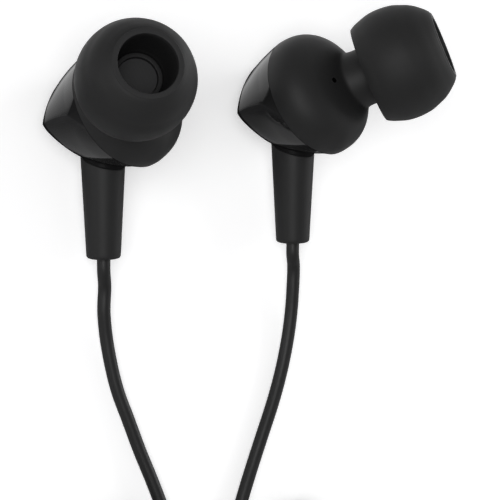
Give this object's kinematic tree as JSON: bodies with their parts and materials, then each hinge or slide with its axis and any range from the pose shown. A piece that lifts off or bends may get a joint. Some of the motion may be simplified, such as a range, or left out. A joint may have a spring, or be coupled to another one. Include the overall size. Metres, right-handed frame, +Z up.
{
  "type": "wired in-ear earphones",
  "caption": "Wired in-ear earphones with round housings, faceted gloss rear covers, long tapered cord boots, soft ear tips, a Y splitter and a straight jack plug.",
  "frame": {"origin": "centre of the box of the two earpieces, on the table that they lie on", "axes": "+X from the right earpiece to the left one, +Y away from the cords, +Z up from the table"},
  "size_m": [0.047, 0.1315, 0.0225],
  "materials": {
    "cover_gloss": "gloss",
    "housing_matte": "matte",
    "boot_rubber": "matte",
    "tip_silicone": "satin",
    "cord_jacket": "satin",
    "tie": "matte",
    "mesh": "matte",
    "gasket": "matte",
    "driver_frame": "matte",
    "film": "satin",
    "coil_copper": "satin",
    "driver_steel": "satin",
    "magnet": "satin",
    "board": "satin",
    "contact": "gloss",
    "insulator": "gloss"
  },
  "bodies": {
    "earphones": {"right_rear_cover": "cover_gloss", "right_front_housing": "housing_matte", "right_nozzle_mesh": "mesh", "right_driver_gasket": "gasket", "right_driver_frame": "driver_frame", "right_diaphragm": "film", "right_voice_coil": "coil_copper", "right_top_plate": "driver_steel", "right_magnet": "magnet", "right_yoke": "driver_steel", "right_terminal_board": "board", "right_boot": "boot_rubber", "right_cord_anchor": "cord_jacket", "left_rear_cover": "cover_gloss", "left_front_housing": "housing_matte", "left_nozzle_mesh": "mesh", "left_driver_gasket": "gasket", "left_driver_frame": "driver_frame", "left_diaphragm": "film", "left_voice_coil": "coil_copper", "left_top_plate": "driver_steel", "left_magnet": "magnet", "left_yoke": "driver_steel", "left_terminal_board": "board", "left_boot": "boot_rubber", "left_cord_anchor": "cord_jacket", "right_branch_cord": "cord_jacket", "left_branch_cord": "cord_jacket", "right_branch_coil": "cord_jacket", "left_branch_coil": "cord_jacket", "right_coil_tie": "tie", "left_coil_tie": "tie", "splitter_body": "housing_matte", "splitter_collar": "boot_rubber", "main_cord": "cord_jacket", "main_coil": "cord_jacket", "main_coil_tie": "tie", "plug_relief": "boot_rubber", "plug_grip": "boot_rubber", "plug_sleeve": "contact", "plug_ring": "contact", "plug_tip": "contact", "plug_insulators": "insulator"},
    "right_tip": {"right_ear_tip": "tip_silicone"},
    "left_tip": {"left_ear_tip": "tip_silicone"}
  },
  "joints": [
    {"name": "right_tip_pull", "type": "slide", "parent": "earphones", "child": "right_tip", "axis": [-0.2033, 0.2557, 0.9451], "range_m": [0, 0.012]},
    {"name": "left_tip_pull", "type": "slide", "parent": "earphones", "child": "left_tip", "axis": [0.7317, 0.3672, 0.5742], "range_m": [0, 0.012]}
  ]
}
